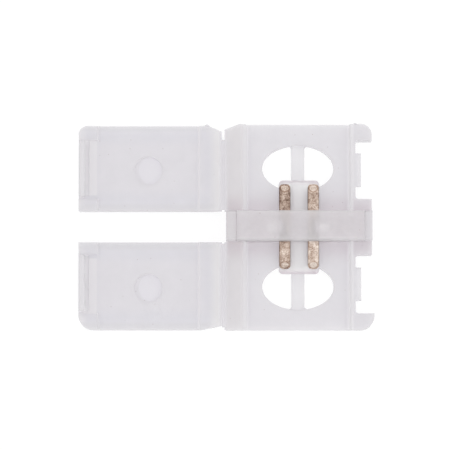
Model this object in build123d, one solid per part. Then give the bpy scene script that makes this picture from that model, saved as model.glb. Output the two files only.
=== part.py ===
from build123d import *
import os

os.makedirs("parts", exist_ok=True)

# Frame, in millimetres: X across the strip, Y along it, Z up
# The origin is the middle of the strip channel, on the underside
# The part is modelled open, with both lids laid out flat to the left
# "Upper" is the end at +Y and "lower" the end at -Y

# Strip channel and tray
strip_width = 8.0
strip_side_play = 0.15
base_length = 16.5
floor_thickness = 0.9
rim_height = 1.8
left_wall = 1.6
right_wall = 0.45
left_lead_in = 0.36
right_lead_in = 0.12
floor_corner_radius = 0.15
end_bevel_length = 0.45
end_bevel_height = 0.35

# How far every cut runs past the faces that it opens
cut_past = 1.0

# Oval windows in the floor, each crossed by one thin rib
window_length = 3.72
window_width = 5.72
window_end_margin = 1.64
rib_width = 1.06
rib_thickness = 0.35
rib_root_radius = 0.2

# Latch side: a centre block, and a block at each end, with a recess between them
centre_block_length = 4.46
centre_block_reach = 1.3
corner_block_length = 1.32
recess_corner_radius = 0.22
upper_corner_reach = 1.3
upper_corner_radius = 0.85
lower_corner_reach = 1.5
lower_corner_radius = 1.15
tab_length = 2.68
tab_reach = 0.45
tab_drop = 0.35
tab_height = 0.4
tab_lead_in = 0.2

# Living hinges
land_reach = 0.13
land_height = 0.7
web_gap = 0.2
web_thickness = 0.22
web_drop = 0.1
web_inner_inset = 0.1
upper_web_inset = 1.1
lower_web_inset = 0.2
closing_gap = 0.04

# Plan chamfers at the hinge side, along X and along Y
upper_base_chamfer_x = 1.25
upper_base_chamfer_y = 0.45
upper_lid_chamfer_x = 1.06
upper_lid_chamfer_y = 0.46
lower_lid_chamfer_x = 1.77
lower_lid_chamfer_y = 0.34

# Lids
lid_thickness = 1.3
lid_end_play = 0.06
upper_lid_set_back = 0.17
lower_lid_set_back = 0.0
lid_pocket_depth = 0.25
lid_channel_narrowing = 0.07
lid_hinge_bevel_x = 1.12
lid_hinge_bevel_z = 0.7
lid_face_bevel = 0.2
lid_pocket_slope = 0.12
upper_lid_corner_radius = 0.68
lower_lid_corner_radius = 1.2
disc_radius = 1.12
disc_depth = 0.3
# How far towards -Y the disc lies from the middle of its lid
disc_offset = 0.16

# Latch hooks on the lids
hook_end_play = 0.12
hook_leg = 0.42
hook_outer_inset = 0.06
latch_side_play = 0.06
latch_height_play = 0.05
barb_wall_play = 0.1
barb_height = 0.45
barb_flat = 0.18
hook_tip_bevel = 0.15

# Contact carrier: the bar over the channel and the tongue on the floor
bar_length_y = 2.38
bar_rise = 1.75
bar_edge_radius = 0.22
left_post = 0.8
right_post = 0.6
carrier_play = 0.03
tongue_width = 3.25
tongue_length = 7.5
tongue_thickness = 0.5
tongue_corner_radius = 0.35
tongue_edge_bevel = 0.2
# How far to the right of the channel's middle the tongue and contacts lie
tongue_offset = 0.08
peg_radius = 0.4
peg_spacing = 4.3
peg_play = 0.02
peg_end_inset = 0.1

# Spring contacts
contact_width = 0.9
contact_thickness = 0.2
contact_length = 6.8
contact_pitch = 2.28
contact_root_gap = 0.32
contact_touch_gap = 0.15
contact_tip_gap = 0.34
contact_straight = 1.45
contact_tip_reach = 0.6
contact_bend_radius = 0.6
contact_corner_radius = 0.32
waist_length = 1.0
waist_depth = 0.3

# Moulding gate nibs left on two end faces
nib_radius = 0.19
nib_reach = 0.17
lid_nib_inset = 1.2
lid_nib_margin = 0.35

# Places worked out from the sizes above
channel_half = strip_width / 2 + strip_side_play
wall_outer_x = -(channel_half + left_wall)
recess_face_x = channel_half + right_wall
inside_right_wall_x = channel_half + right_wall / 2
inside_left_wall_x = wall_outer_x + left_wall / 2
land_face_x = wall_outer_x - land_reach
hinge_x = land_face_x - web_gap / 2
hinge_z = rim_height + closing_gap / 2
base_half = base_length / 2
centre_block_half = centre_block_length / 2
recess_end = base_half - corner_block_length
tab_centre = (centre_block_half + recess_end) / 2
window_centre = base_half - window_end_margin - window_length / 2
bar_half = bar_length_y / 2
bar_top = rim_height + bar_rise
lid_inner_y = bar_half + lid_end_play
upper_lid_end = base_half - upper_lid_set_back
lower_lid_end = base_half - lower_lid_set_back
lid_bottom = rim_height - lid_thickness
hook_inner_x = recess_face_x + tab_reach + latch_side_play
hook_outer_x = hook_inner_x + hook_leg
free_edge_x = hook_outer_x + hook_outer_inset
tab_top = rim_height - tab_drop
tab_bottom = tab_top - tab_height
barb_top = tab_bottom - latch_height_play
barb_bottom = barb_top - barb_height
barb_tip_x = recess_face_x + barb_wall_play
tongue_top = floor_thickness + tongue_thickness
ENDS = {"upper": 1, "lower": -1}

# How near two places must be to count as the same
same_place = 0.01


def opened_x(x):
    """X on the open lid of a place given on the closed lid."""
    return 2 * hinge_x - x


def opened_z(z):
    """Z on the open lid of a place given on the closed lid."""
    return 2 * hinge_z - z


def block(x0, x1, y0, y1, z0, z1):
    """A box between two corners."""
    return Pos((x0 + x1) / 2, (y0 + y1) / 2, (z0 + z1) / 2) * Box(x1 - x0, y1 - y0, z1 - z0)


def across(points, y0, y1):
    """A solid with the given outline in X and Z, running along Y from y0 to y1."""
    outline = make_face(Polyline(*points, close=True))
    lying = Plane(origin=(0, y0, 0), x_dir=(1, 0, 0), z_dir=(0, -1, 0)) * outline
    return extrude(lying, y1 - y0, dir=(0, 1, 0))


def along_end(points, x0, x1):
    """A solid with the given outline in Y and Z, running along X from x0 to x1."""
    outline = make_face(Polyline(*points, close=True))
    standing = Plane(origin=(x0, 0, 0), x_dir=(0, 1, 0), z_dir=(1, 0, 0)) * outline
    return extrude(standing, x1 - x0, dir=(1, 0, 0))


def prism(points, z0, z1):
    """An upright solid with the given outline in X and Y."""
    return Pos(0, 0, z0) * extrude(make_face(Polyline(*points, close=True)), z1 - z0)


def end_bevel(end_y, x0, x1):
    """The wedge cut off the lower edge of an end face."""
    side = 1 if end_y > 0 else -1
    return along_end(
        [
            (end_y - side * end_bevel_length, 0),
            (end_y + side * cut_past, 0),
            (end_y + side * cut_past, end_bevel_height),
            (end_y, end_bevel_height),
        ],
        x0 - cut_past,
        x1 + cut_past,
    )


def nib(x, end_y, z0, z1):
    """The half-round gate nib on an end face at +Y."""
    centre = end_y + nib_reach - nib_radius
    return Pos(x, centre, z0) * extrude(Circle(nib_radius), z1 - z0)


def recess_block(end, reach, corner_radius):
    """The block at one end of the latch side, with its outer corner rounded."""
    outer_x = recess_face_x + reach
    y0 = recess_end
    y1 = base_half
    outline = make_face(
        Polyline(
            (inside_right_wall_x, y0 * end),
            (outer_x, y0 * end),
            (outer_x, y1 * end),
            (inside_right_wall_x, y1 * end),
            close=True,
        )
    )
    corner = outline.vertices().sort_by_distance((outer_x, y1 * end, 0))[0]
    return extrude(fillet(corner, corner_radius), rim_height)


def catch_tab(end):
    """The tab in a recess that a lid's hook snaps under."""
    outer_x = recess_face_x + tab_reach
    y0 = tab_centre * end - tab_length / 2
    return across(
        [
            (inside_right_wall_x, tab_bottom),
            (outer_x, tab_bottom),
            (outer_x, tab_top - tab_lead_in),
            (outer_x - tab_lead_in, tab_top),
            (inside_right_wall_x, tab_top),
        ],
        y0,
        y0 + tab_length,
    )


def window(end):
    """What one oval window takes out of the floor, leaving its thin rib."""
    oval = Pos(0, window_centre * end) * Ellipse(window_width / 2, window_length / 2)
    rib = Pos(0, window_centre * end) * Rectangle(rib_width, window_length + cut_past)
    halves = oval - rib
    halves = fillet(halves.vertices(), rib_root_radius)
    through = Pos(0, 0, -cut_past) * extrude(halves, floor_thickness + 2 * cut_past)
    over_rib = Pos(0, 0, rib_thickness) * extrude(oval & rib, floor_thickness)
    return through + over_rib


def hinge_land(end, outer_y):
    """The strip of wall that one living hinge grows out of."""
    y0, y1 = sorted((lid_inner_y * end, outer_y * end))
    return across(
        [
            (inside_left_wall_x, rim_height),
            (land_face_x, rim_height),
            (land_face_x, rim_height - land_height),
            (wall_outer_x, rim_height - land_height - land_reach),
            (inside_left_wall_x, rim_height - land_height - land_reach),
        ],
        y0,
        y1,
    )


def post(x0, x1):
    """An upright that holds one end of the bar."""
    solid = block(x0, x1, -bar_half, bar_half, floor_thickness, bar_top)
    return fillet(solid.edges().filter_by(Axis.X).group_by(Axis.Z)[-1], bar_edge_radius)


def make_base():
    """The tray: channel, windows, hinge wall, latch side, posts."""
    tray = block(wall_outer_x, recess_face_x, -base_half, base_half, 0, rim_height)
    tray += block(
        inside_right_wall_x,
        recess_face_x + centre_block_reach,
        -centre_block_half,
        centre_block_half,
        0,
        rim_height,
    )
    tray += recess_block(1, upper_corner_reach, upper_corner_radius)
    tray += recess_block(-1, lower_corner_reach, lower_corner_radius)
    corners = [
        edge
        for edge in tray.edges().filter_by(Axis.Z)
        if abs(edge.center().X - recess_face_x) < same_place
        and abs(edge.center().Y) < base_half - same_place
    ]
    tray = fillet(corners, recess_corner_radius)
    outer_x = recess_face_x + lower_corner_reach
    for end in ENDS.values():
        tray -= end_bevel(base_half * end, wall_outer_x, outer_x)
    channel = across(
        [
            (-channel_half, floor_thickness),
            (channel_half, floor_thickness),
            (channel_half, rim_height - right_lead_in),
            (channel_half + right_lead_in, rim_height),
            (channel_half + right_lead_in, rim_height + cut_past),
            (-channel_half - left_lead_in, rim_height + cut_past),
            (-channel_half - left_lead_in, rim_height),
            (-channel_half, rim_height - left_lead_in),
        ],
        -base_half - cut_past,
        base_half + cut_past,
    )
    floor_edges = channel.edges().filter_by(Axis.Y).group_by(Axis.Z)[0]
    tray -= fillet(floor_edges, floor_corner_radius)
    tray += hinge_land(1, base_half - upper_base_chamfer_y)
    tray += hinge_land(-1, base_half)
    tray -= prism(
        [
            (land_face_x, base_half - upper_base_chamfer_y),
            (land_face_x + upper_base_chamfer_x, base_half),
            (land_face_x + upper_base_chamfer_x, base_half + cut_past),
            (land_face_x - cut_past, base_half + cut_past),
            (land_face_x - cut_past, base_half - upper_base_chamfer_y),
        ],
        -cut_past,
        rim_height + cut_past,
    )
    tray += post(wall_outer_x, wall_outer_x + left_post)
    tray += post(recess_face_x + centre_block_reach - right_post, recess_face_x + centre_block_reach)
    for end in ENDS.values():
        tray -= window(end)
        tray += catch_tab(end)
        tray -= Pos(peg_spacing / 2 * end, 0, 0) * extrude(Circle(peg_radius + peg_play), rim_height)
    tray += nib(recess_face_x, base_half, end_bevel_height, floor_thickness)
    return tray


def make_contact(side):
    """One spring contact: a bent strip with rounded tips and a waist notch."""
    middle = contact_thickness / 2
    root_z = tongue_top + contact_root_gap + middle
    touch_z = tongue_top + contact_touch_gap + middle
    tip_z = tongue_top + contact_tip_gap + middle
    tip_y = contact_length / 2
    half_path = [(contact_straight, root_z), (tip_y - contact_tip_reach, touch_z), (tip_y, tip_z)]
    points = [(0, -y, z) for y, z in reversed(half_path)] + [(0, y, z) for y, z in half_path]
    path = FilletPolyline(*points, radius=contact_bend_radius)
    section = Plane(path @ 0, x_dir=(1, 0, 0), z_dir=path % 0) * Rectangle(contact_width, contact_thickness)
    strip = sweep(section, path)
    centre_x = tongue_offset + contact_pitch / 2 * side
    plan = RectangleRounded(contact_width, contact_length, contact_corner_radius)
    notch = Pos((contact_width / 2) * side, 0) * Rectangle(waist_depth * 2, waist_length)
    return Pos(centre_x, 0, 0) * (strip & extrude(plan - notch, bar_top))


def make_carrier(contacts):
    """The bar, its feet on the channel floor, the tongue and the two pegs."""
    bar_left = wall_outer_x + left_post + carrier_play
    bar_right = recess_face_x + centre_block_reach - right_post - carrier_play
    foot_half = channel_half - carrier_play
    foot_top = rim_height - left_lead_in
    bar = across(
        [
            (-foot_half, floor_thickness + floor_corner_radius),
            (-foot_half + floor_corner_radius, floor_thickness),
            (foot_half - floor_corner_radius, floor_thickness),
            (foot_half, floor_thickness + floor_corner_radius),
            (foot_half, rim_height),
            (bar_right, rim_height),
            (bar_right, bar_top),
            (bar_left, bar_top),
            (bar_left, rim_height),
            (-foot_half, rim_height),
            (-foot_half, foot_top),
        ],
        -bar_half,
        bar_half,
    )
    long_edges = bar.edges().filter_by(Axis.X).group_by(Axis.Z)[-1]
    bar = fillet(long_edges, bar_edge_radius)
    tongue = extrude(RectangleRounded(tongue_width, tongue_length, tongue_corner_radius), tongue_thickness)
    tongue = chamfer(tongue.faces().sort_by(Axis.Z)[-1].edges(), tongue_edge_bevel)
    carrier = bar + Pos(tongue_offset, 0, floor_thickness) * tongue
    peg = extrude(Circle(peg_radius), floor_thickness - peg_end_inset + tongue_thickness)
    for side in (-1, 1):
        carrier += Pos(peg_spacing / 2 * side, 0, peg_end_inset) * peg
    for contact in contacts:
        carrier -= contact
    return carrier


def lid_outline(end, outer_y, corner_radius, chamfer_x, chamfer_y):
    """The lid seen from above: one rounded corner, and a chamfer beside the hinge."""
    free_x = opened_x(free_edge_x)
    edge_x = opened_x(land_face_x)
    outline = make_face(
        Polyline(
            (free_x, lid_inner_y * end),
            (edge_x, lid_inner_y * end),
            (edge_x, (outer_y - chamfer_y) * end),
            (edge_x - chamfer_x, outer_y * end),
            (free_x, outer_y * end),
            close=True,
        )
    )
    corner = outline.vertices().sort_by_distance((free_x, outer_y * end, 0))[0]
    return fillet(corner, corner_radius)


def hook(end):
    """The latch hook that stands up from a lid, just inside its free edge."""
    foot_x = opened_x(hook_outer_x)
    leg_x = opened_x(hook_inner_x)
    tip_x = opened_x(barb_tip_x)
    top = opened_z(barb_bottom)
    under = opened_z(barb_top)
    root = lid_bottom + lid_thickness / 2
    y0, y1 = sorted(((centre_block_half + hook_end_play) * end, (recess_end - hook_end_play) * end))
    return across(
        [
            (foot_x, root),
            (leg_x, root),
            (leg_x, under),
            (tip_x, under),
            (tip_x, under + barb_flat),
            (leg_x, top),
            (foot_x + hook_tip_bevel, top),
            (foot_x, top - hook_tip_bevel),
        ],
        y0,
        y1,
    )


def make_lid(end, outer_y, corner_radius, chamfer_x, chamfer_y):
    """One lid, open: a thin plate with its outer face down, a shallow pocket and a hook."""
    edge_x = opened_x(land_face_x)
    pocket_left = opened_x(channel_half - lid_channel_narrowing)
    pocket_right = opened_x(-channel_half + lid_channel_narrowing)
    slope_foot_left = pocket_left + lid_pocket_slope
    slope_foot_right = pocket_right - lid_pocket_slope
    pocket_floor = rim_height - lid_pocket_depth
    above = rim_height + cut_past
    plate = extrude(lid_outline(end, outer_y, corner_radius, chamfer_x, chamfer_y), lid_thickness)
    plate = chamfer(plate.faces().sort_by(Axis.Z)[0].edges(), lid_face_bevel)
    plate = Pos(0, 0, lid_bottom) * plate
    y0, y1 = sorted(((lid_inner_y - cut_past) * end, (outer_y + cut_past) * end))
    plate -= across(
        [
            (edge_x - lid_hinge_bevel_x, lid_bottom),
            (edge_x, lid_bottom + lid_hinge_bevel_z),
            (edge_x + cut_past, lid_bottom + lid_hinge_bevel_z),
            (edge_x + cut_past, lid_bottom - cut_past),
            (edge_x - lid_hinge_bevel_x, lid_bottom - cut_past),
        ],
        y0,
        y1,
    )
    plate -= across(
        [
            (slope_foot_left, pocket_floor),
            (slope_foot_right, pocket_floor),
            (pocket_right, rim_height),
            (pocket_right, above),
            (pocket_left, above),
            (pocket_left, rim_height),
        ],
        y0,
        y1,
    )
    free_x = opened_x(free_edge_x)
    hook_y0, hook_y1 = sorted((centre_block_half * end, recess_end * end))
    plate -= block(free_x - cut_past, slope_foot_left, hook_y0, hook_y1, pocket_floor, above)
    disc = extrude(Circle(disc_radius), cut_past)
    disc_y = (lid_inner_y + outer_y) / 2 * end - disc_offset
    plate -= Pos(opened_x(0), disc_y, pocket_floor - disc_depth) * disc
    return plate + hook(end)


def make_web(end, outer_y):
    """The thin film of one living hinge, between a lid's edge and the wall's land."""
    y0, y1 = sorted(((lid_inner_y + web_inner_inset) * end, outer_y * end))
    top = rim_height - web_drop
    return block(opened_x(land_face_x), land_face_x, y0, y1, top - web_thickness, top)


contact_left = make_contact(-1)
contact_right = make_contact(1)
export_step(make_base(), "parts/base.step")
export_step(make_carrier([contact_left, contact_right]), "parts/contact_carrier.step")
export_step(contact_left, "parts/contact_left.step")
export_step(contact_right, "parts/contact_right.step")
upper_lid = make_lid(1, upper_lid_end, upper_lid_corner_radius, upper_lid_chamfer_x, upper_lid_chamfer_y)
upper_lid += nib(
    opened_x(land_face_x) - lid_nib_inset,
    upper_lid_end,
    lid_bottom + lid_nib_margin,
    rim_height - lid_nib_margin,
)
lower_lid = make_lid(-1, lower_lid_end, lower_lid_corner_radius, lower_lid_chamfer_x, lower_lid_chamfer_y)
export_step(upper_lid, "parts/lid_upper.step")
export_step(lower_lid, "parts/lid_lower.step")
export_step(make_web(1, upper_lid_end - upper_web_inset), "parts/hinge_web_upper.step")
export_step(make_web(-1, lower_lid_end - lower_web_inset), "parts/hinge_web_lower.step")
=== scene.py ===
import math

import bmesh
import bpy
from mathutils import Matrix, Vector


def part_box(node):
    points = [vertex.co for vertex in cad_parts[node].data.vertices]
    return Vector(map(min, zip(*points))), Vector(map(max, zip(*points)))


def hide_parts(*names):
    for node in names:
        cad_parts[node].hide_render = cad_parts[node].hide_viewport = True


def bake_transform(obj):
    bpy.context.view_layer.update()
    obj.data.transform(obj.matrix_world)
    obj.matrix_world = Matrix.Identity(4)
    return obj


bl_info = {
    "name": "LED Strip Clip Finish",
    "version": (1, 0, 0),
    "blender": (4, 5, 0),
    "location": "View3D > Sidebar > Strip Clip",
    "description": "Dresses an open two-contact clip for LED strip and sets up its studio",
    "category": "Object",
}

MM = 0.001
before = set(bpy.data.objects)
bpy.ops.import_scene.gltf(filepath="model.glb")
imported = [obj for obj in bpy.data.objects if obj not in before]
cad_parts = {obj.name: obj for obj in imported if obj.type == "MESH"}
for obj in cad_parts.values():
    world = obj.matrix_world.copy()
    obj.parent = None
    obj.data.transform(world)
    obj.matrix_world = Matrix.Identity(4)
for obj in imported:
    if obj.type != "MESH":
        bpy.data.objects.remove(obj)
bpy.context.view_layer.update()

# The photograph, 450 pixels wide and high: how many pixels make a millimetre on the table,
# and the pixel where the middle of the strip channel meets the table
PHOTO_SIZE = 450
PIXELS_PER_MM = 12.45
ORIGIN_PIXEL = (297.7, 228.4)

# Width of the camera's sensor in its own millimetres
SENSOR_WIDTH = 36.0

# Grid step of the node editor, so that the nodes lie apart when a material is opened
NODE_STEP = 200

# Sockets of a Mix node for colours, by number because its other sockets have the same names
MIX_SHARE = 0
MIX_UNDER = 6
MIX_OVER = 7
MIX_RESULT = 2

# Inputs of noise whose blotches are soft but not smooth, and how much of its height a bump keeps
SOFT_NOISE = {"Detail": 3.0, "Roughness": 0.6}
BUMP_STRENGTH = 0.6

# Where in the noise the clouds are fully dark and fully light
CLOUD_DARK = 0.3
CLOUD_LIGHT = 0.7

# Share of a speck's radius that is fully dark
SPECK_CORE = 0.6

# A hinge film's edges that are sharper than this stay sharp
SMOOTH_ANGLE = math.radians(30)

# Corners of the boxes that the CAD pieces fill, in metres
lid_low, lid_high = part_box("lid_lower")
upper_low, upper_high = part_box("lid_upper")
bar_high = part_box("contact_carrier")[1]
contact_low, contact_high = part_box("contact_left")
right_low, right_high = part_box("contact_right")
web_low, web_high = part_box("hinge_web_upper")
web_width = web_high.x - web_low.x
hinge_x = (web_low.x + web_high.x) / 2


def linear(colour):
    """The linear colour of an sRGB hex value."""
    parts = [int(colour[i:i + 2], 16) / 255 for i in (1, 3, 5)]
    return tuple(p / 12.92 if p <= 0.04045 else ((p + 0.055) / 1.055) ** 2.4 for p in parts) + (1.0,)


def add_node(tree, kind, place, inputs=None, **settings):
    """Adds a node with its settings, and sets or links its inputs."""
    node = tree.nodes.new(kind)
    node.location = (place[0] * NODE_STEP, place[1] * NODE_STEP)
    for name, value in settings.items():
        setattr(node, name, value)
    for name, value in (inputs or {}).items():
        if isinstance(value, bpy.types.NodeSocket):
            tree.links.new(value, node.inputs[name])
        else:
            node.inputs[name].default_value = value
    return node


def blank_material(name):
    """A new material with an empty node tree."""
    material = bpy.data.materials.new(name)
    material.use_nodes = True
    material.node_tree.nodes.clear()
    return material, material.node_tree


def object_axes(tree):
    """The Object coordinates, whole and as X, Y and Z."""
    coordinates = add_node(tree, "ShaderNodeTexCoord", (-15, 0)).outputs["Object"]
    return coordinates, add_node(tree, "ShaderNodeSeparateXYZ", (-14, 2), {"Vector": coordinates}).outputs


def paint(obj, material):
    """Gives every slot of an object this material."""
    if not obj.material_slots:
        obj.data.materials.append(material)
    for slot in obj.material_slots:
        slot.material = material


def distance(tree, place, value, centre):
    """How far a value is from the centre."""
    offset = add_node(tree, "ShaderNodeMath", place, {0: value, 1: centre}, operation="SUBTRACT")
    beside = (place[0] + 1, place[1])
    away = add_node(tree, "ShaderNodeMath", beside, {0: offset.outputs[0]}, operation="ABSOLUTE")
    return away.outputs[0]


def mask(tree, row, value, centre, full, none, curve="SMOOTHSTEP"):
    """A mask from a value's distance to the centre: 1 at full, 0 at none, and graded between them."""
    away = distance(tree, (-11, row), value, centre)
    limits = {"Value": away, "From Min": full, "From Max": none, "To Min": 1.0, "To Max": 0.0}
    graded = add_node(tree, "ShaderNodeMapRange", (-9, row), limits, interpolation_type=curve)
    return graded.outputs["Result"]


def layered(tree, place, colour, tints):
    """The colour with tints laid over it in turn, each as far as the product of its masks says."""
    for step, (masks, shade, blend) in enumerate(tints):
        spot = (place[0] + step, place[1])
        share = masks[0]
        for other in masks[1:]:
            both = {0: share, 1: other}
            share = add_node(tree, "ShaderNodeMath", spot, both, operation="MULTIPLY").outputs[0]
        inputs = {MIX_SHARE: share, MIX_UNDER: colour, MIX_OVER: linear(shade)}
        mixed = add_node(tree, "ShaderNodeMix", spot, inputs, data_type="RGBA", blend_type=blend)
        colour = mixed.outputs[MIX_RESULT]
    return colour


def cloudy_colour(tree, look, coordinates):
    """The plastic's faint flow clouds, with a few dark specks in them."""
    flow = {"Vector": coordinates, "Scale": 1 / look.flow_width, **SOFT_NOISE}
    flow = add_node(tree, "ShaderNodeTexNoise", (-12, 0), flow).outputs["Fac"]
    clouds = mask(tree, 0, flow, 0.0, CLOUD_LIGHT, CLOUD_DARK, "LINEAR")
    # Painted light: the upright faces are painted lighter, standing in for the light that the milky plastic
    # lets out at its sides
    facing = add_node(tree, "ShaderNodeNewGeometry", (-13, -1)).outputs["True Normal"]
    facing = add_node(tree, "ShaderNodeSeparateXYZ", (-12, -1), {"Vector": facing}).outputs["Z"]
    upright = mask(tree, -1, facing, 0.0, 0.0, 1.0)
    cells = {"Vector": coordinates, "Scale": 1 / look.speck_spacing}
    cells = add_node(tree, "ShaderNodeTexVoronoi", (-12, -2), cells).outputs["Distance"]
    radius = look.speck_radius / look.speck_spacing
    dirt = mask(tree, -2, cells, 0.0, SPECK_CORE * radius, radius)
    tints = (
        ((clouds,), look.light, "MIX"),
        ((upright, look.upright_painted_light), look.upright_painted_light_colour, "MIX"),
        ((dirt,), look.speck_shade, "MULTIPLY"),
    )
    return layered(tree, (-8, 0), linear(look.dark), tints)


def cloudy_surface(tree, colour, look, coordinates, clearness):
    """The shared build of a cloudy moulded plastic.

    A face gives back part of the light and lets the rest into the plastic, where depth takes
    some of it. More of the soft light from the white table passes on through each face, so
    thin walls look lighter than thick ones. A face seen from inside lets all light out.
    The clearness, a number or a socket, is the share of light that is seen straight through.
    """
    grain = {"Vector": coordinates, "Scale": 1 / look.grain_width, **SOFT_NOISE}
    grain = add_node(tree, "ShaderNodeTexNoise", (-3, -2), grain).outputs["Fac"]
    bump = {"Height": grain, "Distance": look.grain_depth, "Strength": BUMP_STRENGTH}
    bump = add_node(tree, "ShaderNodeBump", (-2, -2), bump).outputs["Normal"]
    face = {
        "Base Color": colour,
        "Roughness": look.roughness,
        "IOR": look.ior,
        "Transmission Weight": look.blur,
        "Subsurface Weight": 1.0,
        "Subsurface Radius": (1.0, 1.0, 1.0),
        "Subsurface Scale": look.scatter,
        "Normal": bump,
    }
    face = add_node(tree, "ShaderNodeBsdfPrincipled", (0, -1), face).outputs["BSDF"]
    depth = {"Color": linear(look.depth_colour), "Density": look.depth_density}
    depth = add_node(tree, "ShaderNodeVolumeAbsorption", (2, -2), depth).outputs["Volume"]
    path = add_node(tree, "ShaderNodeLightPath", (-1, 4)).outputs
    onward = {0: path["Is Shadow Ray"], 1: path["Is Diffuse Ray"]}
    onward = add_node(tree, "ShaderNodeMath", (0, 4), onward, operation="MAXIMUM").outputs[0]
    share = {"Value": onward, "To Min": clearness, "To Max": look.passing}
    share = add_node(tree, "ShaderNodeMapRange", (1, 4), share).outputs["Result"]
    passed = {"Color": linear(look.passed_colour)}
    passed = add_node(tree, "ShaderNodeBsdfTransparent", (1, 2), passed).outputs["BSDF"]
    surface = {0: share, 1: face, 2: passed}
    surface = add_node(tree, "ShaderNodeMixShader", (2, 1), surface).outputs[0]
    inside = add_node(tree, "ShaderNodeNewGeometry", (2, 4)).outputs["Backfacing"]
    leaving = add_node(tree, "ShaderNodeBsdfTransparent", (2, 2)).outputs["BSDF"]
    surface = add_node(tree, "ShaderNodeMixShader", (3, 1), {0: inside, 1: surface, 2: leaving}).outputs[0]
    add_node(tree, "ShaderNodeOutputMaterial", (4, 0), {"Surface": surface, "Volume": depth})


def shade_property(name, description, default):
    """A hex colour that a user may change."""
    return bpy.props.StringProperty(name=name, description=description, default=default)


def share_property(name, description, default):
    """A share from 0 to 1."""
    return bpy.props.FloatProperty(
        name=name, description=description, default=default, min=0.0, max=1.0, subtype="FACTOR"
    )


def length_property(name, description, default):
    """A length, given in metres."""
    return bpy.props.FloatProperty(
        name=name, description=description, default=default, min=0.0, precision=6, unit="LENGTH"
    )


def number_property(name, description, default):
    """A plain number."""
    return bpy.props.FloatProperty(name=name, description=description, default=default, precision=3)


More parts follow.
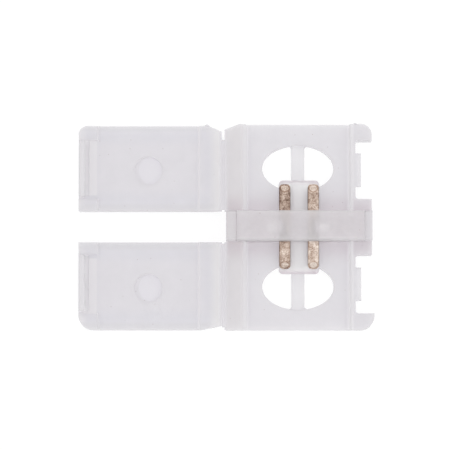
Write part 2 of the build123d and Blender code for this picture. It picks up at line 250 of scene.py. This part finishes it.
class BodyLook(bpy.types.PropertyGroup):
    """The milky plastic of the tray, the lids and their hinge films."""

    light: shade_property("Light", "Colour of the lighter clouds", "#e1e0e3")
    dark: shade_property("Dark", "Colour of the darker clouds", "#dddcdf")
    flow_width: length_property("Flow mark width", "Width of the faint clouds in the plastic", 1.6 * MM)
    speck_spacing: length_property("Speck spacing", "How far apart the dark specks lie", 0.8 * MM)
    speck_radius: length_property("Speck radius", "Radius of a dark speck", 0.045 * MM)
    speck_shade: shade_property("Speck shade", "Colour that a speck darkens by", "#dbd0cc")
    grain_width: length_property("Grain width", "Width of the mould's fine texture", 0.3 * MM)
    grain_depth: length_property("Grain depth", "Depth of the mould's fine texture", 0.004 * MM)
    clearness: share_property("Clearness", "Share of the table's light seen straight through a face", 0.45)
    # Painted light on the upright faces
    upright_painted_light: share_property("Edge glow", "How much lighter the upright faces are", 0.5)
    upright_painted_light_colour: shade_property("Glow colour", "Colour that the upright faces turn to", "#ffffff")
    blur: share_property("Blur", "Share of the rest that is seen through the face, but blurred", 0.0)
    scatter: length_property("Scatter", "How far light spreads inside the plastic", 1.6 * MM)
    roughness: share_property("Roughness", "Roughness of the moulded face", 0.42)
    ior: number_property("IOR", "Index of refraction of the plastic", 1.49)
    passing: share_property("Light passed on", "Share of soft light that goes through one face", 0.82)
    passed_colour: shade_property("Passed colour", "Colour of light that went through one face", "#e9e7eb")
    depth_colour: shade_property("Depth colour", "Colour that thick plastic turns to", "#d6cfd3")
    depth_density: number_property("Depth density", "How fast depth darkens the plastic, per metre", 300.0)
    # Painted shade along a lid's margins and in a band inside them
    margin_start: length_property("Margin start", "From a lid's edge to where its margin fades", 0.33 * MM)
    margin_end: length_property("Margin end", "From a lid's edge to where its margin is gone", 0.77 * MM)
    margin_painted_shade: shade_property("Margin shade", "How much the margins at a lid's ends darken", "#f3f4f4")
    band_start: length_property("Band start", "From a lid's edge to where the band fades", 0.91 * MM)
    band_end: length_property("Band end", "From a lid's edge to where the band is gone", 1.99 * MM)
    band_painted_shade: shade_property("Band shade", "How much the band inside a lid's margin darkens", "#fafbfd")
    # Painted light along a pocket's sloped edges
    pocket_reach: length_property("Pocket reach", "From a pocket's middle to its sloped edges", 4.02 * MM)
    line_width: length_property("Line width", "Half the width of the light line on such an edge", 0.14 * MM)
    pocket_line_painted_light: shade_property("Line colour", "Colour of that line", "#f5f5f6")
    # Painted light on the thin discs
    disc_place: length_property("Disc place", "From the middle to the discs, before their shift", 4.7 * MM)
    disc_shift: length_property("Disc shift", "How far both discs are shifted down the strip", 0.16 * MM)
    disc_width: length_property("Disc width", "How far a disc's light patch reaches across", 0.98 * MM)
    disc_length: length_property("Disc length", "How far it reaches along the strip", 1.14 * MM)
    disc_fade: length_property("Disc fade", "Over what length that patch ends", 0.12 * MM)
    disc_painted_light: shade_property("Disc colour", "Colour of that patch", "#e4e3e8")
    # Painted light, a little cream, on a lid beside its hinge
    thin_width: length_property("Thin width", "How far from the hinge a lid thins out", 1.3 * MM)
    thin_painted_light: shade_property("Thin colour", "Colour of a lid beside its hinge", "#e6e6e3")
    film_clearness: share_property("Film clearness", "Share of the table's light seen through a film", 0.72)
    # Painted light on the hinge films and the edges beside them
    film_painted_light: shade_property("Film colour", "Colour of a hinge's film and the edges beside it", "#ffffff")
    # Painted light on the thin pad behind a lid's hook
    pad_start: length_property("Pad start", "From a lid's free edge to the pad behind its hook", 0.3 * MM)
    pad_end: length_property("Pad end", "From a lid's free edge to that pad's end", 1.4 * MM)
    pad_reach: length_property("Pad reach", "From a lid's middle to that pad's sides", 2.15 * MM)
    pad_fade: length_property("Pad fade", "Over what length the pad's colour ends", 0.15 * MM)
    pad_painted_light: shade_property("Pad colour", "Colour of that pad", "#e7e6e7")
    # Painted light on a hook's top and its barb
    standing_start: length_property("Standing start", "How far above its film a hook stands free", 0.1 * MM)
    standing_fade: length_property("Standing fade", "Height over which the hook's colour sets in", 0.2 * MM)
    hook_painted_light: shade_property("Standing colour", "Colour of a hook's top", "#e4e4e7")
    barb_place: length_property("Barb place", "From a lid's free edge to its hook's barb", 0.7 * MM)
    barb_reach: length_property("Barb reach", "From there to where the barb's colour has ended", 0.3 * MM)
    barb_painted_light: shade_property("Barb colour", "Colour of the barb", "#ffffff")
    # Painted light on the thin window ribs
    rib_reach: length_property("Rib reach", "From the middle to a window rib's sides", 0.54 * MM)
    rib_height: length_property("Rib height", "Height of a window rib's top", 0.36 * MM)
    rib_fade: length_property("Rib fade", "Over what length a rib's colour ends", 0.08 * MM)
    rib_painted_light: shade_property("Rib colour", "Colour of a window rib", "#f6f7ff")
    wall_place: length_property("Wall place", "From the middle to the wall by the hinges", 5.72 * MM)
    wall_width: length_property("Wall width", "How far that wall's warmer colour reaches", 1.18 * MM)
    wall_shade: shade_property("Wall shade", "How much the wall by the hinges warms", "#fffefb")
    # Painted light along the strip channel's sloped edges
    channel_edge: length_property("Channel edge", "From the middle to the channel's sloped edges", 4.2 * MM)
    edge_width: length_property("Edge width", "Half the width of the light line on such an edge", 0.34 * MM)
    channel_edge_painted_light: shade_property("Edge colour", "Colour of that line", "#fbfbfd")
    # Painted shadow that the bar casts on the floor on either side of it
    bar_shadow_width: length_property("Heel width", "How far from the middle the plastic is warmer", 1.3 * MM)
    bar_shadow_fade: length_property("Heel fade", "Over what length it fades", 2.0 * MM)
    bar_painted_shadow: shade_property("Heel shade", "How much that plastic warms", "#f0e9eb")


class CarrierLook(bpy.types.PropertyGroup):
    """The frosted plastic of the contact carrier."""

    light: shade_property("Light", "Colour of the lighter clouds", "#e5e2e4")
    dark: shade_property("Dark", "Colour of the darker clouds", "#dfdcde")
    flow_width: length_property("Flow mark width", "Width of the faint clouds in the plastic", 0.5 * MM)
    speck_spacing: length_property("Speck spacing", "How far apart the dark specks lie", 0.7 * MM)
    speck_radius: length_property("Speck radius", "Radius of a dark speck", 0.045 * MM)
    speck_shade: shade_property("Speck shade", "Colour that a speck darkens by", "#dbd0cc")
    grain_width: length_property("Grain width", "Width of the frosted texture's pits", 0.12 * MM)
    grain_depth: length_property("Grain depth", "Depth of the frosted texture's pits", 0.008 * MM)
    clearness: share_property("Clearness", "Share of the table's light seen straight through a face", 0.12)
    # Painted light on the upright faces
    upright_painted_light: share_property("Edge glow", "How much lighter the upright faces are", 0.4)
    upright_painted_light_colour: shade_property("Glow colour", "Colour that the upright faces turn to", "#ffffff")
    blur: share_property("Blur", "Share of the rest that is seen through the face, but blurred", 0.25)
    scatter: length_property("Scatter", "How far light spreads inside the plastic", 0.8 * MM)
    roughness: share_property("Roughness", "Roughness of the frosted face", 0.5)
    ior: number_property("IOR", "Index of refraction of the plastic", 1.58)
    passing: share_property("Light passed on", "Share of soft light that goes through one face", 0.9)
    passed_colour: shade_property("Passed colour", "Colour of light that went through one face", "#f4f1f3")
    depth_colour: shade_property("Depth colour", "Colour that thick plastic turns to", "#d8ced2")
    depth_density: number_property("Depth density", "How fast depth darkens the plastic, per metre", 120.0)
    # Painted light on the tongue and between the contacts, and painted shade on the tongue's ends
    tongue_fade: length_property("Tongue fade", "Height over which the tongue's colour ends", 0.2 * MM)
    tongue_painted_light: shade_property("Tongue colour", "Colour of the thin tongue", "#eae6e9")
    middle_painted_light: shade_property("Middle colour", "Colour of the tongue between the contacts", "#ffffff")
    end_length: length_property("End length", "Length of the darker end of the tongue", 0.5 * MM)
    tongue_end_painted_shade: shade_property("End shade", "How much the tongue's end darkens", "#e6dde2")


class ContactLook(bpy.types.PropertyGroup):
    """The bronze strip of the two contacts."""

    dark: shade_property("Dark bronze", "Colour of the darker grains", "#755f54")
    middle: shade_property("Middle bronze", "Colour of most grains", "#b7a294")
    light: shade_property("Light bronze", "Colour of the lighter grains", "#e4d8ce")
    dark_level: share_property("Dark level", "Brightness in the noise that gives the dark colour", 0.36)
    middle_level: share_property("Middle level", "Brightness in the noise that gives the middle tone", 0.48)
    light_level: share_property("Light level", "Brightness in the noise that gives the light colour", 0.64)
    grain_width: length_property("Grain width", "Width of one grain", 0.09 * MM)
    grain_depth: length_property("Grain depth", "Depth of the grains in the rolled surface", 0.017 * MM)
    patch_width: length_property("Patch width", "Width of a tarnished patch", 0.45 * MM)
    roughness: share_property("Roughness", "Roughness of the tarnished metal", 0.45)
    # Painted shade along each long side of a contact
    edge_width: length_property("Edge width", "Width of the dark line along each long side", 0.07 * MM)
    side_painted_shade: shade_property("Edge shade", "Colour that the cut sides are darkened by", "#85766c")
    # Painted highlight on a bent tip, and painted shade along the bend about it
    tip_length: length_property("Tip length", "Length of the bright patch on a tip", 0.52 * MM)
    tip_width: length_property("Tip width", "Width of the bright patch on a tip", 0.68 * MM)
    tip_painted_highlight: number_property("Tip gleam", "How much brighter a tip is", 0.09)
    crease_painted_shade: shade_property("Crease shade", "Colour that the bend's line is darkened by", "#d8c8bc")
    tarnish: number_property("Tarnish", "How much darker the metal has turned", 0.019)
    # The metal is brighter to the right and downwards
    brighter_right: number_property("Worn right", "How much brighter it is per millimetre to the right", 0.025)
    brighter_down: number_property("Worn down", "How much brighter it is per millimetre down", 0.012)


class FilmLook(bpy.types.PropertyGroup):
    """The films of the two living hinges."""

    steps: bpy.props.IntProperty(name="Steps", description="Rings of faces across a film", default=16, min=4)
    waist: share_property("Waist", "Share of its thickness that a film keeps in its middle", 0.7)


class StageLook(bpy.types.PropertyGroup):
    """The camera, the table and the lamps."""

    distance: length_property("Camera distance", "From the camera to the middle of the picture", 350 * MM)
    lean: bpy.props.FloatProperty(
        name="Camera lean",
        description="How far the camera leans from straight above",
        default=math.radians(4.57),
        unit="ROTATION",
    )
    lamp_place: bpy.props.FloatVectorProperty(
        name="Lamp place",
        description="Middle of the soft lamp",
        default=(0.04, -0.03, 0.45),
        subtype="XYZ",
        unit="LENGTH",
    )
    lamp_size: length_property("Lamp size", "Width of the soft lamp", 900 * MM)
    lamp_power: bpy.props.FloatProperty(
        name="Lamp power", description="Power of the soft lamp", default=1.3, unit="POWER"
    )
    sky: share_property("Sky", "Strength of the light from all round", 0.68)
    table_size: length_property("Table size", "Width of the table", 1200 * MM)
    table_shade: shade_property("Table shade", "Colour of the table as it lights the part", "#f3f3f3")
    table_grey: shade_property("Table grey", "Colour that shows the part's shadow on the table", "#7c7c7c")
    table_white: share_property("Table white", "What is added so that the table shows as white", 0.84)


def near_film(tree, axes, look):
    """A mask of the plastic at the hinge line, for the painted light there, and the clearness that its thin
    film gives it.
    """
    at_film = mask(tree, 4, axes["X"], hinge_x, web_width, 2 * web_width)
    gain = {0: at_film, 1: look.film_clearness - look.clearness, 2: look.clearness}
    return at_film, add_node(tree, "ShaderNodeMath", (0, 5), gain, operation="MULTIPLY_ADD").outputs[0]


def tray_tints(tree, axes, at_film, look):
    """The tray's painted shadow beside the bar, its warmer wall, and painted light on the strip channel's
    edges, the films' seats and the ribs.
    """
    # Painted shadow of the bar, low down beside it
    in_bar_shadow = mask(tree, 6, axes["Y"], 0.0, look.bar_shadow_width, look.bar_shadow_width + look.bar_shadow_fade)
    rim = web_high.z + look.standing_start
    low_down = mask(tree, 7, axes["Z"], 0.0, rim, rim + look.standing_fade)
    on_wall = mask(tree, 8, axes["X"], -look.wall_place, look.wall_width, look.wall_width + look.edge_width)
    # Painted light along the strip channel's sloped edges
    across = distance(tree, (-13, 9), axes["X"], 0.0)
    on_channel_edge_light = mask(tree, 9, across, look.channel_edge, 0.0, look.edge_width)
    # Painted light on the thin window ribs
    on_rib = mask(tree, 10, axes["X"], 0.0, look.rib_reach, look.rib_reach + look.rib_fade)
    below_top = mask(tree, 11, axes["Z"], 0.0, look.rib_height, look.rib_height + look.rib_fade)
    return (
        ((in_bar_shadow, low_down), look.bar_painted_shadow, "MULTIPLY"),
        ((on_wall,), look.wall_shade, "MULTIPLY"),
        ((on_channel_edge_light,), look.channel_edge_painted_light, "MIX"),
        ((at_film,), look.film_painted_light, "MIX"),
        ((on_rib, below_top), look.rib_painted_light, "MIX"),
    )


def lid_tints(tree, axes, at_film, look):
    """A lid's painted shade on its margins and band, and painted light on its pocket's edges, its disc, its
    thin side, and its pad and hook.
    """
    middle_x = (lid_low.x + lid_high.x) / 2
    half_x = (lid_high.x - lid_low.x) / 2
    middle_y = (upper_low.y + upper_high.y) / 2
    half_y = (upper_high.y - upper_low.y) / 2
    along = distance(tree, (-13, 6), axes["Y"], 0.0)

    # How far a place is from the nearest edge of its lid, for the painted shade on its margins and band
    from_x = distance(tree, (-13, 7), axes["X"], middle_x)
    from_x = add_node(tree, "ShaderNodeMath", (-12, 7), {0: half_x, 1: from_x}, operation="SUBTRACT")
    from_y = distance(tree, (-13, 8), along, middle_y)
    end_margin = mask(tree, 9, from_y, half_y, look.margin_start, look.margin_end)
    from_y = add_node(tree, "ShaderNodeMath", (-12, 8), {0: half_y, 1: from_y}, operation="SUBTRACT")
    inward = {0: from_x.outputs[0], 1: from_y.outputs[0]}
    inward = add_node(tree, "ShaderNodeMath", (-12, 9), inward, operation="MINIMUM").outputs[0]
    past_margin = mask(tree, 10, inward, 0.0, look.margin_end, look.margin_start)
    in_band = mask(tree, 11, inward, 0.0, look.band_start, look.band_end)

    # Painted light along the sloped edges of the pocket. A closed lid's pocket lies over the strip channel,
    # so its middle is twice as far out as the hinge
    from_pocket = distance(tree, (-13, 12), axes["X"], 2 * hinge_x)
    on_line = mask(tree, 12, from_pocket, look.pocket_reach, 0.0, look.line_width)
    hinge_side = mask(tree, 13, axes["X"], lid_high.x, 0.0, lid_high.x - lid_low.x)
    # Painted light, a little cream, on the lid's thin side beside its hinge
    thinning = mask(tree, 14, axes["X"], lid_high.x, 0.0, look.thin_width)

    # The shallow disc is thinner than the plate about it, so it gets painted light
    disc_x = distance(tree, (-16, 15), axes["X"], middle_x)
    disc_y = distance(tree, (-18, 16), axes["Y"], -look.disc_shift)
    disc_y = distance(tree, (-16, 16), disc_y, look.disc_place)
    offset = add_node(tree, "ShaderNodeCombineXYZ", (-14, 15), {"X": disc_x, "Y": disc_y})
    stretched = {0: offset.outputs[0], 1: (1.0, look.disc_width / look.disc_length, 0.0)}
    stretched = add_node(tree, "ShaderNodeVectorMath", (-13, 15), stretched, operation="MULTIPLY").outputs[0]
    from_disc = add_node(tree, "ShaderNodeVectorMath", (-12, 15), {0: stretched}, operation="LENGTH")
    inner_width = look.disc_width - look.disc_fade
    on_disc = mask(tree, 15, from_disc.outputs["Value"], 0.0, inner_width, look.disc_width)

    # Painted light on the thin pad behind each hook, and on the hook and its barb, which stand up thin and
    # free
    past_hook = mask(tree, 17, axes["X"], lid_low.x, look.pad_start + look.pad_fade, look.pad_start)
    before_pocket = mask(tree, 18, axes["X"], lid_low.x, look.pad_end, look.pad_end + look.pad_fade)
    beside = mask(tree, 19, along, middle_y, look.pad_reach, look.pad_reach + look.pad_fade)
    rim = web_high.z + look.standing_start
    standing = mask(tree, 20, axes["Z"], 0.0, rim + look.standing_fade, rim)
    on_barb = mask(tree, 21, axes["X"], lid_low.x + look.barb_place, 0.0, look.barb_reach)
    return (
        ((past_margin, in_band), look.band_painted_shade, "MULTIPLY"),
        ((end_margin,), look.margin_painted_shade, "MULTIPLY"),
        ((on_line, hinge_side), look.pocket_line_painted_light, "MIX"),
        ((on_disc,), look.disc_painted_light, "MIX"),
        ((thinning,), look.thin_painted_light, "MIX"),
        ((at_film,), look.film_painted_light, "MIX"),
        ((past_hook, before_pocket, beside), look.pad_painted_light, "MIX"),
        ((standing,), look.hook_painted_light, "MIX"),
        ((standing, on_barb), look.barb_painted_light, "MIX"),
    )


class CLIP_OT_body(bpy.types.Operator):
    """Gives the tray and the lids their milky plastic"""

    bl_idname = "clip.body"
    bl_label = "Mould the Tray and Lids"

    def execute(self, context):
        look = context.scene.clip_body
        # Polypropylene from a smooth steel mould: soft gloss, faint flow clouds, cloudy but not clear.
        # The lids are the same plastic, with painted shade where they are thicker, along their margins.
        pieces = (
            ("milky_polypropylene_moulded", tray_tints, ("base",)),
            ("milky_polypropylene_moulded_lid", lid_tints, ("lid_upper", "lid_lower")),
        )
        for name, local_tints, nodes in pieces:
            material, tree = blank_material(name)
            coordinates, axes = object_axes(tree)
            at_film, clearness = near_film(tree, axes, look)
            colour = cloudy_colour(tree, look, coordinates)
            colour = layered(tree, (-8, 6), colour, local_tints(tree, axes, at_film, look))
            cloudy_surface(tree, colour, look, coordinates, clearness)
            for node in nodes:
                paint(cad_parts[node], material)
        return {"FINISHED"}


class CLIP_OT_carrier(bpy.types.Operator):
    """Gives the contact carrier its frosted plastic"""

    bl_idname = "clip.carrier"
    bl_label = "Frost the Contact Carrier"

    def execute(self, context):
        look = context.scene.clip_carrier
        # Polycarbonate from a spark-eroded mould: fine frosted pits, warmer and duller than the tray.
        # Real pits are finer than the render shows, so they are drawn one and a half pixels wide.
        material, tree = blank_material("frosted_polycarbonate_moulded")
        coordinates, axes = object_axes(tree)
        colour = cloudy_colour(tree, look, coordinates)
        # Painted light on the thin, clear tongue, more of it between the contacts where their shadow falls,
        # and painted shade on its rounded ends, which turn away from the light
        on_tongue = mask(tree, 3, axes["Z"], 0.0, contact_low.z, contact_low.z + look.tongue_fade)
        in_middle = mask(tree, 4, axes["X"], 0.0, 0.0, -contact_low.x)
        along = distance(tree, (-13, 5), axes["Y"], 0.0)
        at_end = mask(tree, 5, along, bar_high.y, 0.0, look.end_length)
        tints = (
            ((on_tongue,), look.tongue_painted_light, "MIX"),
            ((on_tongue, in_middle), look.middle_painted_light, "MIX"),
            ((at_end,), look.tongue_end_painted_shade, "MULTIPLY"),
        )
        colour = layered(tree, (-6, 3), colour, tints)
        cloudy_surface(tree, colour, look, coordinates, look.clearness)
        paint(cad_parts["contact_carrier"], material)
        return {"FINISHED"}


class CLIP_OT_contacts(bpy.types.Operator):
    """Gives the two contacts their bronze"""

    bl_idname = "clip.contacts"
    bl_label = "Finish the Contacts"

    def execute(self, context):
        look = context.scene.clip_contacts
        # Phosphor bronze strip, rolled, stamped and tarnished: metal grains, with painted shade along the
        # long sides.
        # Real grains are finer than the render shows, so they are drawn about a pixel wide.
        material, tree = blank_material("phosphor_bronze_strip_stamped")
        coordinates, axes = object_axes(tree)
        grains = {"Vector": coordinates, "Scale": 1 / look.grain_width, **SOFT_NOISE}
        grains = add_node(tree, "ShaderNodeTexNoise", (-12, 0), grains).outputs["Fac"]
        patches = {"Vector": coordinates, "Scale": 1 / look.patch_width, **SOFT_NOISE}
        patches = add_node(tree, "ShaderNodeTexNoise", (-12, 1), patches).outputs["Fac"]

        # How far a place is from the middle line of its contact, and from the middle of its tip
        middle_left = (contact_low.x + contact_high.x) / 2
        middle_right = (right_low.x + right_high.x) / 2
        across = distance(tree, (-16, 5), axes["X"], (middle_left + middle_right) / 2)
        across = distance(tree, (-14, 5), across, (middle_right - middle_left) / 2)
        along = distance(tree, (-16, 7), axes["Y"], 0.0)
        along = distance(tree, (-14, 7), along, contact_high.y - look.tip_length / 2 - look.edge_width)
        along = {0: along, 1: look.tip_width / look.tip_length}
        along = add_node(tree, "ShaderNodeMath", (-12, 7), along, operation="MULTIPLY").outputs[0]
        from_tip = add_node(tree, "ShaderNodeCombineXYZ", (-12, 6), {"X": across, "Y": along}).outputs[0]
        from_tip = add_node(tree, "ShaderNodeVectorMath", (-11, 6), {0: from_tip}, operation="LENGTH")
        from_tip = from_tip.outputs["Value"]

        # Painted highlight on the bent tips in a round patch, with a thin line of painted shade about it at
        # the bend
        radius = look.tip_width / 2
        on_tip_highlight = mask(tree, 8, from_tip, 0.0, radius - look.edge_width, radius)
        on_crease_shade = mask(tree, 9, from_tip, radius, 0.0, look.edge_width)
        # Painted shade along each long side
        in_side_shade = mask(tree, 10, across, (contact_high.x - contact_low.x) / 2, 0.0, look.edge_width)

        # Half of the brightness comes from each noise. All of it is tarnished, it is brighter to the right
        # and downwards, and the tips get a painted highlight.
        parts = (
            (grains, 1 / 2),
            (patches, 1 / 2),
            (axes["X"], look.brighter_right / MM),
            (axes["Y"], -look.brighter_down / MM),
            (on_tip_highlight, look.tip_painted_highlight),
        )
        level = -look.tarnish
        for step, (value, share) in enumerate(parts):
            inputs = {0: value, 1: share, 2: level}
            total = add_node(tree, "ShaderNodeMath", (step - 7, 3), inputs, operation="MULTIPLY_ADD")
            level = total.outputs[0]
        middling = mask(tree, 11, level, 0.0, look.middle_level, look.dark_level, "LINEAR")
        bright = mask(tree, 12, level, 0.0, look.light_level, look.middle_level, "LINEAR")
        tints = (
            ((middling,), look.middle, "MIX"),
            ((bright,), look.light, "MIX"),
            ((in_side_shade,), look.side_painted_shade, "MULTIPLY"),
            ((on_crease_shade,), look.crease_painted_shade, "MULTIPLY"),
        )
        tint = layered(tree, (-7, 1), linear(look.dark), tints)
        bump = {"Height": grains, "Distance": look.grain_depth, "Strength": BUMP_STRENGTH}
        bump = add_node(tree, "ShaderNodeBump", (-2, -1), bump).outputs["Normal"]
        metal = {"Base Color": tint, "Metallic": 1.0, "Roughness": look.roughness, "Normal": bump}
        metal = add_node(tree, "ShaderNodeBsdfPrincipled", (-1, 0), metal).outputs["BSDF"]
        add_node(tree, "ShaderNodeOutputMaterial", (1, 0), {"Surface": metal})
        for name in ("contact_left", "contact_right"):
            paint(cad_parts[name], material)
        return {"FINISHED"}


class CLIP_OT_hinge_films(bpy.types.Operator):
    """Models the two bendable films that join the lids to the tray"""

    bl_idname = "clip.hinge_films"
    bl_label = "Model the Hinge Films"

    def execute(self, context):
        look = context.scene.clip_films
        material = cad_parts["base"].material_slots[0].material
        for end in ("upper", "lower"):
            node = "hinge_web_" + end
            low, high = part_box(node)
            bpy.ops.object.select_all(action="DESELECT")
            bpy.ops.mesh.primitive_cube_add(size=1, location=(low + high) / 2)
            film = context.object
            film.name = "hinge_film_" + end
            film.scale = high - low
            bpy.ops.object.transform_apply(location=True, rotation=True, scale=True)

            # Rings of faces across the film, so that it can bend into a loop
            bpy.ops.object.mode_set(mode="EDIT")
            bpy.ops.mesh.select_mode(type="EDGE")
            bpy.ops.mesh.select_all(action="DESELECT")
            mesh = bmesh.from_edit_mesh(film.data)
            for edge in mesh.edges:
                edge.select = abs(edge.verts[0].co.x - edge.verts[1].co.x) > (high.x - low.x) / 2
            bmesh.update_edit_mesh(film.data)
            bpy.ops.mesh.subdivide(number_cuts=look.steps - 1)

            # The film is rolled thinner towards its middle
            bpy.ops.mesh.select_mode(type="VERT")
            spacing = (high.x - low.x) / look.steps
            for ring in range(1, look.steps):
                place = low.x + ring * spacing
                bpy.ops.mesh.select_all(action="DESELECT")
                mesh = bmesh.from_edit_mesh(film.data)
                for vertex in mesh.verts:
                    vertex.select = abs(vertex.co.x - place) < spacing / 2
                mesh.select_flush(True)
                bmesh.update_edit_mesh(film.data)
                thinner = 1 - (1 - look.waist) * math.sin(math.pi * ring / look.steps)
                bpy.ops.transform.resize(value=(1, 1, thinner))
            bpy.ops.object.mode_set(mode="OBJECT")
            bpy.ops.object.shade_smooth_by_angle(angle=SMOOTH_ANGLE)
            paint(film, material)
            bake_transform(film)
            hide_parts(node)
        return {"FINISHED"}


class CLIP_OT_stage(bpy.types.Operator):
    """Sets up the table, the lamps and the camera"""

    bl_idname = "clip.stage"
    bl_label = "Set Up the Studio"

    def execute(self, context):
        look = context.scene.clip_stage
        self.add_table(context, look)
        self.add_light(context, look)
        self.add_camera(context, look)
        context.scene.view_settings.view_transform = "Standard"
        return {"FINISHED"}

    def add_table(self, context, look):
        """A white table: it shows as plain white, keeps the part's shadow and lights the part from below."""
        bpy.ops.object.select_all(action="DESELECT")
        bpy.ops.mesh.primitive_plane_add(size=look.table_size)
        floor = context.object
        floor.name = "table"
        material, tree = blank_material("white_table")
        path = add_node(tree, "ShaderNodeLightPath", (-5, 0)).outputs
        seen = path["Is Camera Ray"]
        for step, ray in enumerate(("Is Glossy Ray", "Is Transmission Ray")):
            both = {0: seen, 1: path[ray]}
            seen = add_node(tree, "ShaderNodeMath", (step - 4, 1), both, operation="MAXIMUM").outputs[0]
        face = add_node(tree, "ShaderNodeBsdfDiffuse", (-2, 0), {"Color": linear(look.table_grey)})
        glow = add_node(tree, "ShaderNodeEmission", (-2, -1), {"Strength": look.table_white})
        shown = add_node(tree, "ShaderNodeAddShader", (-1, 0), {0: face.outputs[0], 1: glow.outputs[0]})
        lit = add_node(tree, "ShaderNodeBsdfDiffuse", (-1, -2), {"Color": linear(look.table_shade)})
        either = {0: seen, 1: lit.outputs[0], 2: shown.outputs[0]}
        either = add_node(tree, "ShaderNodeMixShader", (0, 0), either).outputs[0]
        add_node(tree, "ShaderNodeOutputMaterial", (1, 0), {"Surface": either})
        paint(floor, material)

    def add_light(self, context, look):
        """Even light from all round, with one wide soft lamp above."""
        world = bpy.data.worlds.new("studio")
        context.scene.world = world
        world.use_nodes = True
        tree = world.node_tree
        tree.nodes.clear()
        seen = add_node(tree, "ShaderNodeLightPath", (-3, 0)).outputs["Is Camera Ray"]
        level = {"Value": seen, "To Min": look.sky, "To Max": 1.0}
        level = add_node(tree, "ShaderNodeMapRange", (-2, 0), level).outputs["Result"]
        sky = {"Color": linear("#ffffff"), "Strength": level}
        sky = add_node(tree, "ShaderNodeBackground", (-1, 0), sky).outputs["Background"]
        add_node(tree, "ShaderNodeOutputWorld", (0, 0), {"Surface": sky})

        lamp_data = bpy.data.lights.new("soft_lamp", "AREA")
        lamp_data.shape = "DISK"
        lamp_data.size = look.lamp_size
        lamp_data.energy = look.lamp_power
        lamp = bpy.data.objects.new("soft_lamp", lamp_data)
        context.collection.objects.link(lamp)
        lamp.location = look.lamp_place
        lamp.rotation_euler = (-lamp.location).to_track_quat("-Z", "Y").to_euler()

    def add_camera(self, context, look):
        """The camera looks almost straight down, framed as the photograph is."""
        camera_data = bpy.data.cameras.new("camera")
        camera = bpy.data.objects.new("camera", camera_data)
        context.collection.objects.link(camera)
        middle = PHOTO_SIZE / 2
        target = Vector((middle - ORIGIN_PIXEL[0], ORIGIN_PIXEL[1] - middle, 0)) / PIXELS_PER_MM * MM
        back = Vector((0, -math.sin(look.lean), math.cos(look.lean)))
        camera.location = target + back * look.distance
        camera.rotation_euler = (look.lean, 0, 0)
        camera_data.sensor_width = SENSOR_WIDTH
        camera_data.lens = SENSOR_WIDTH * look.distance / (PHOTO_SIZE / PIXELS_PER_MM * MM)
        context.scene.camera = camera


OPERATORS = (CLIP_OT_body, CLIP_OT_carrier, CLIP_OT_contacts, CLIP_OT_hinge_films, CLIP_OT_stage)
GROUPS = {
    "clip_body": BodyLook,
    "clip_carrier": CarrierLook,
    "clip_contacts": ContactLook,
    "clip_films": FilmLook,
    "clip_stage": StageLook,
}


class CLIP_PT_finish(bpy.types.Panel):
    """Lists the clip's looks and the steps that apply them"""

    bl_idname = "CLIP_PT_finish"
    bl_label = "Strip Clip"
    bl_space_type = "VIEW_3D"
    bl_region_type = "UI"
    bl_category = "Strip Clip"

    def draw(self, context):
        for (group_name, group), operator in zip(GROUPS.items(), OPERATORS):
            box = self.layout.box()
            settings = getattr(context.scene, group_name)
            for setting in group.__annotations__:
                box.prop(settings, setting)
            box.operator(operator.bl_idname)


CLASSES = tuple(GROUPS.values()) + OPERATORS + (CLIP_PT_finish,)


def register():
    for cls in CLASSES:
        bpy.utils.register_class(cls)
    for name, group in GROUPS.items():
        setattr(bpy.types.Scene, name, bpy.props.PointerProperty(type=group))


def unregister():
    for name in GROUPS:
        delattr(bpy.types.Scene, name)
    for cls in reversed(CLASSES):
        bpy.utils.unregister_class(cls)


def main():
    register()
    bpy.ops.clip.body()
    bpy.ops.clip.carrier()
    bpy.ops.clip.contacts()
    bpy.ops.clip.hinge_films()
    bpy.ops.clip.stage()


if __name__ == "__main__":
    main()
